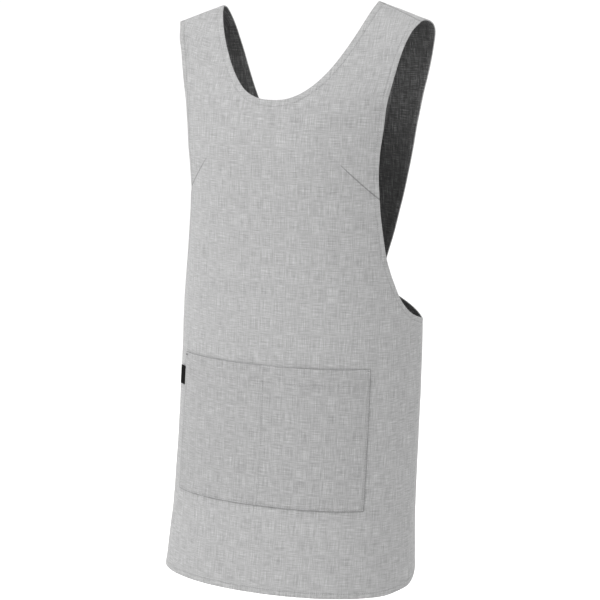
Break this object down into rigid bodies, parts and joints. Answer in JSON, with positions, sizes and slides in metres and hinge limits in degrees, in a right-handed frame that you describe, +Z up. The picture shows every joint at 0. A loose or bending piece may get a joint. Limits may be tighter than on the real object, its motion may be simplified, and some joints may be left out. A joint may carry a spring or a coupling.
{
  "type": "cross back apron",
  "caption": "Pull-over cross back apron with wide shoulder straps, two crossing back wraps and a double patch pocket.",
  "frame": {"origin": "midway between the neck ends of the two shoulder seams, where the apron sits on the shoulders", "axes": "+Z up, the front faces -Y, the wearer's left is +X"},
  "size_m": [0.4242, 0.302, 0.9065],
  "materials": {
    "cloth": "light grey melange plain weave with a charcoal reverse side",
    "label": "black woven tape",
    "thread": "dark grey sewing thread"
  },
  "bodies": {
    "root": {"front_panel": "cloth", "back_wrap_left": "cloth", "back_wrap_right": "cloth", "patch_pocket": "cloth", "side_label": "label", "pocket_tack_left": "thread", "pocket_tack_right": "thread"}
  },
  "joints": []
}
